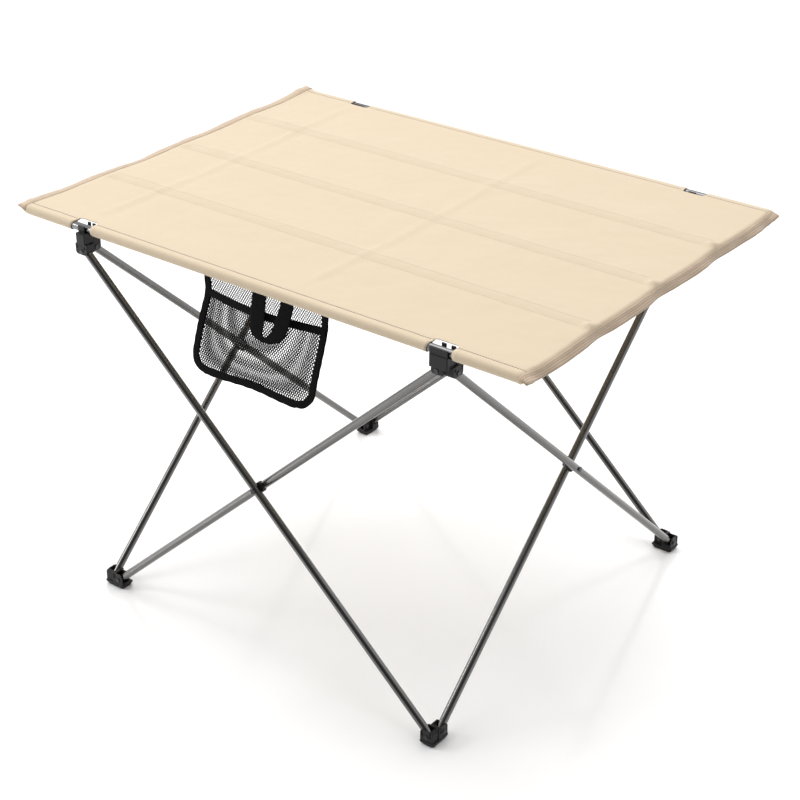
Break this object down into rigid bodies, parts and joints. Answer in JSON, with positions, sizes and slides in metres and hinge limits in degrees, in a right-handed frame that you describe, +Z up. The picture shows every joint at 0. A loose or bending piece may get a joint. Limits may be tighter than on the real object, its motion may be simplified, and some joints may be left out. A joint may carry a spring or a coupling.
{
  "type": "folding camp table",
  "caption": "Folding camp kitchen table: cloth top on poles, crossed tube legs with plastic hubs and feet, mesh pocket and webbing loop under the front edge.",
  "frame": {"origin": "on the ground under the middle of the open table", "axes": "+Z up, +X along the long edge of the top, +Y from the edge with the mesh bag to the plain edge"},
  "size_m": [0.743, 0.559, 0.519],
  "materials": {
    "hub_plastic": "moulded nylon, fine grain",
    "foot_plastic": "moulded nylon, fine grain",
    "spacer_plastic": "moulded nylon",
    "plug_plastic": "moulded nylon",
    "leg_tube": "gunmetal anodised, glossy",
    "pole_tube": "plain drawn, satin",
    "rivet": "dark satin",
    "batten": "plain",
    "top_cloth": "coated woven cloth",
    "edge_tape": "ribbed woven tape",
    "bag_mesh": "knitted net",
    "bag_tape": "ribbed woven tape",
    "webbing": "ribbed webbing"
  },
  "bodies": {
    "foot_front_right": {"foot_front_right": "foot_plastic", "foot_rivets_front_right": "rivet"},
    "leg_front_outer": {"leg_front_outer": "leg_tube"},
    "hub_front_left": {"hub_front_left": "hub_plastic", "hub_rivets_front_left": "rivet"},
    "leg_front_inner": {"leg_front_inner": "leg_tube", "cross_rivet_front": "rivet", "cross_spacer_front": "spacer_plastic"},
    "foot_front_left": {"foot_front_left": "foot_plastic", "foot_rivets_front_left": "rivet"},
    "hub_front_right": {"hub_front_right": "hub_plastic", "hub_rivets_front_right": "rivet"},
    "leg_right_inner": {"leg_right_inner": "leg_tube", "cross_rivet_right": "rivet", "cross_spacer_right": "spacer_plastic"},
    "hub_back_right": {"hub_back_right": "hub_plastic", "hub_rivets_back_right": "rivet"},
    "leg_right_outer": {"leg_right_outer": "leg_tube"},
    "foot_back_right": {"foot_back_right": "foot_plastic", "foot_rivets_back_right": "rivet"},
    "leg_left_outer": {"leg_left_outer": "leg_tube"},
    "hub_back_left": {"hub_back_left": "hub_plastic", "hub_rivets_back_left": "rivet"},
    "leg_left_inner": {"leg_left_inner": "leg_tube", "cross_rivet_left": "rivet", "cross_spacer_left": "spacer_plastic"},
    "foot_back_left": {"foot_back_left": "foot_plastic", "foot_rivets_back_left": "rivet"},
    "leg_back_inner": {"leg_back_inner": "leg_tube", "cross_rivet_back": "rivet", "cross_spacer_back": "spacer_plastic"},
    "leg_back_outer": {"leg_back_outer": "leg_tube"},
    "top": {"pole_front": "pole_tube", "pole_back": "pole_tube", "pole_plugs_front": "plug_plastic", "pole_plugs_back": "plug_plastic", "cloth_top": "top_cloth", "sleeve_front": "top_cloth", "sleeve_back": "top_cloth", "edge_tape_left": "edge_tape", "edge_tape_right": "edge_tape", "batten_front": "batten", "batten_middle": "batten", "batten_back": "batten", "batten_pocket_front": "top_cloth", "batten_pocket_middle": "top_cloth", "batten_pocket_back": "top_cloth"},
    "bag": {"bag_back_mesh": "bag_mesh", "bag_front_mesh": "bag_mesh", "bag_edge_tape": "bag_tape", "bag_mouth_band": "bag_tape"},
    "loop": {"webbing_loop": "webbing"}
  },
  "joints": [
    {"name": "fold", "type": "hinge", "parent": "foot_front_right", "child": "leg_front_outer", "pos_m": [0.257, -0.2717, 0.012], "axis": [0, 1, 0], "range_deg": [0, 45]},
    {"name": "front_outer_top", "type": "hinge", "parent": "leg_front_outer", "child": "hub_front_left", "pos_m": [-0.257, -0.2717, 0.488], "axis": [0, -1, 0], "range_deg": [0, 45]},
    {"name": "front_crossing", "type": "hinge", "parent": "leg_front_outer", "child": "leg_front_inner", "pos_m": [0, -0.266, 0.25], "axis": [0, -1, 0], "range_deg": [0, 90]},
    {"name": "front_inner_bottom", "type": "hinge", "parent": "leg_front_inner", "child": "foot_front_left", "pos_m": [-0.257, -0.2603, 0.012], "axis": [0, 1, 0], "range_deg": [0, 45]},
    {"name": "front_inner_top", "type": "hinge", "parent": "leg_front_inner", "child": "hub_front_right", "pos_m": [0.257, -0.2603, 0.488], "axis": [0, 1, 0], "range_deg": [0, 45]},
    {"name": "right_inner_bottom", "type": "hinge", "parent": "foot_front_right", "child": "leg_right_inner", "pos_m": [0.2603, -0.257, 0.012], "axis": [1, 0, 0], "range_deg": [0, 45]},
    {"name": "right_inner_top", "type": "hinge", "parent": "leg_right_inner", "child": "hub_back_right", "pos_m": [0.2603, 0.257, 0.488], "axis": [-1, 0, 0], "range_deg": [0, 45]},
    {"name": "right_outer_top", "type": "hinge", "parent": "hub_front_right", "child": "leg_right_outer", "pos_m": [0.2717, -0.257, 0.488], "axis": [-1, 0, 0], "range_deg": [0, 45]},
    {"name": "right_outer_bottom", "type": "hinge", "parent": "leg_right_outer", "child": "foot_back_right", "pos_m": [0.2717, 0.257, 0.012], "axis": [1, 0, 0], "range_deg": [0, 45]},
    {"name": "left_outer_bottom", "type": "hinge", "parent": "foot_front_left", "child": "leg_left_outer", "pos_m": [-0.2717, -0.257, 0.012], "axis": [1, 0, 0], "range_deg": [0, 45]},
    {"name": "left_outer_top", "type": "hinge", "parent": "leg_left_outer", "child": "hub_back_left", "pos_m": [-0.2717, 0.257, 0.488], "axis": [-1, 0, 0], "range_deg": [0, 45]},
    {"name": "left_inner_top", "type": "hinge", "parent": "hub_front_left", "child": "leg_left_inner", "pos_m": [-0.2603, -0.257, 0.488], "axis": [-1, 0, 0], "range_deg": [0, 45]},
    {"name": "left_inner_bottom", "type": "hinge", "parent": "leg_left_inner", "child": "foot_back_left", "pos_m": [-0.2603, 0.257, 0.012], "axis": [1, 0, 0], "range_deg": [0, 45]},
    {"name": "back_inner_top", "type": "hinge", "parent": "hub_back_left", "child": "leg_back_inner", "pos_m": [-0.257, 0.2603, 0.488], "axis": [0, 1, 0], "range_deg": [0, 45]},
    {"name": "back_outer_top", "type": "hinge", "parent": "hub_back_right", "child": "leg_back_outer", "pos_m": [0.257, 0.2717, 0.488], "axis": [0, -1, 0], "range_deg": [0, 45]},
    {"name": "top_lift", "type": "slide", "parent": "hub_front_right", "child": "top", "axis": [0, 0, 1], "range_m": [0, 0.7466]},
    {"name": "bag_swing", "type": "hinge", "parent": "top", "child": "bag", "pos_m": [0, -0.243, 0.5161], "axis": [1, 0, 0], "range_deg": [0, 50]},
    {"name": "loop_swing", "type": "hinge", "parent": "top", "child": "loop", "pos_m": [0.0245, -0.256, 0.5161], "axis": [-1, 0, 0], "range_deg": [0, 18]}
  ],
  "couplings": [
    {"joint": "front_outer_top", "follows": "fold", "ratio": 1},
    {"joint": "front_crossing", "follows": "fold", "ratio": 2},
    {"joint": "front_inner_bottom", "follows": "fold", "ratio": 1},
    {"joint": "front_inner_top", "follows": "fold", "ratio": 1},
    {"joint": "right_inner_bottom", "follows": "fold", "ratio": 1},
    {"joint": "right_inner_top", "follows": "fold", "ratio": 1},
    {"joint": "right_outer_top", "follows": "fold", "ratio": 1},
    {"joint": "right_outer_bottom", "follows": "fold", "ratio": 1},
    {"joint": "left_outer_bottom", "follows": "fold", "ratio": 1},
    {"joint": "left_outer_top", "follows": "fold", "ratio": 1},
    {"joint": "left_inner_top", "follows": "fold", "ratio": 1},
    {"joint": "left_inner_bottom", "follows": "fold", "ratio": 1},
    {"joint": "back_inner_top", "follows": "fold", "ratio": 1},
    {"joint": "back_outer_top", "follows": "fold", "ratio": 1},
    {"joint": "top_lift", "follows": "fold", "m_per_rad": 0.95}
  ]
}
